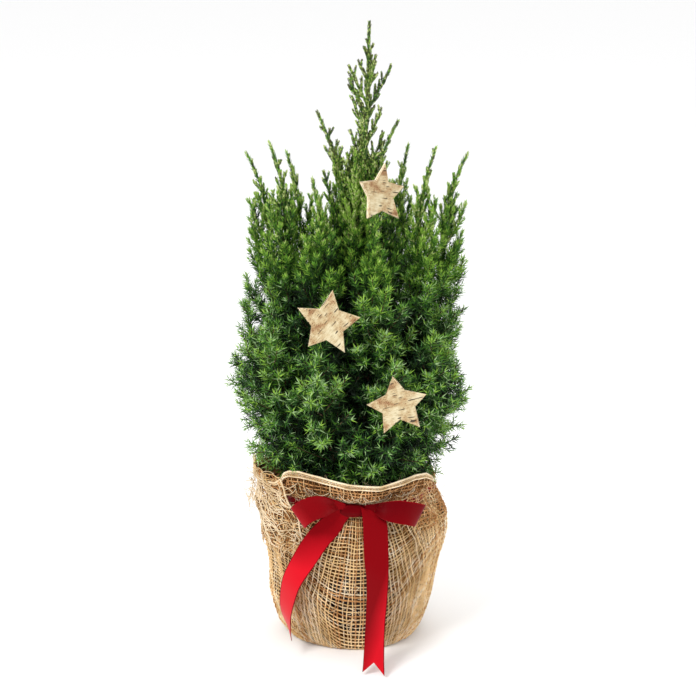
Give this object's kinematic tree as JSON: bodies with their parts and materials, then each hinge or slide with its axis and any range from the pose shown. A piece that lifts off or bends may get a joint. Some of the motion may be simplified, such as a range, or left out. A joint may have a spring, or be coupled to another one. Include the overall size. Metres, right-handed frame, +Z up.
{
  "type": "potted juniper",
  "caption": "Columnar juniper in a nursery pot, wrapped in jute cloth tied with a ribbon bow; needle foliage on upright boughs round one trunk.",
  "frame": {"origin": "centre of the wrapped pot's flat underside, on the surface it stands on", "axes": "+Z up along the plant, -Y towards the front with the bow, +X to the right seen from the front"},
  "size_m": [0.2047, 0.207, 0.52],
  "materials": {
    "needle": "waxy green needles",
    "bark": "thin scaly bark",
    "jute": "loose plain weave",
    "satin": "satin",
    "pot_plastic": "matte",
    "soil": "moist peat"
  },
  "bodies": {
    "root": {"nursery_pot": "pot_plastic", "potting_soil": "soil", "jute_wrap": "jute", "ribbon_band": "satin", "ribbon_knot": "satin", "ribbon_loop_left": "satin", "ribbon_loop_right": "satin", "ribbon_tail_left": "satin", "ribbon_tail_right": "satin", "trunk": "bark", "bough_low_left": "bark", "bough_low_left_front": "bark", "bough_low_front_left": "bark", "bough_low_front_right": "bark", "bough_low_right_front": "bark", "bough_low_right": "bark", "bough_low_back_right": "bark", "bough_low_back": "bark", "bough_low_back_left": "bark", "bough_middle_left": "bark", "bough_middle_left_back": "bark", "bough_middle_front_left": "bark", "bough_middle_front": "bark", "bough_middle_right": "bark", "bough_middle_right_back": "bark", "bough_middle_back_right": "bark", "bough_middle_back": "bark", "bough_middle_back_left": "bark", "bough_high_left": "bark", "bough_high_front": "bark", "bough_high_right": "bark", "bough_high_back": "bark", "foliage_leader": "needle", "foliage_low_left": "needle", "foliage_low_left_front": "needle", "foliage_low_front_left": "needle", "foliage_low_front_right": "needle", "foliage_low_right_front": "needle", "foliage_low_right": "needle", "foliage_low_back_right": "needle", "foliage_low_back": "needle", "foliage_low_back_left": "needle", "foliage_middle_left": "needle", "foliage_middle_left_back": "needle", "foliage_middle_front_left": "needle", "foliage_middle_front": "needle", "foliage_middle_right": "needle", "foliage_middle_right_back": "needle", "foliage_middle_back_right": "needle", "foliage_middle_back": "needle", "foliage_middle_back_left": "needle", "foliage_high_left": "needle", "foliage_high_front": "needle", "foliage_high_right": "needle", "foliage_high_back": "needle"}
  },
  "joints": []
}
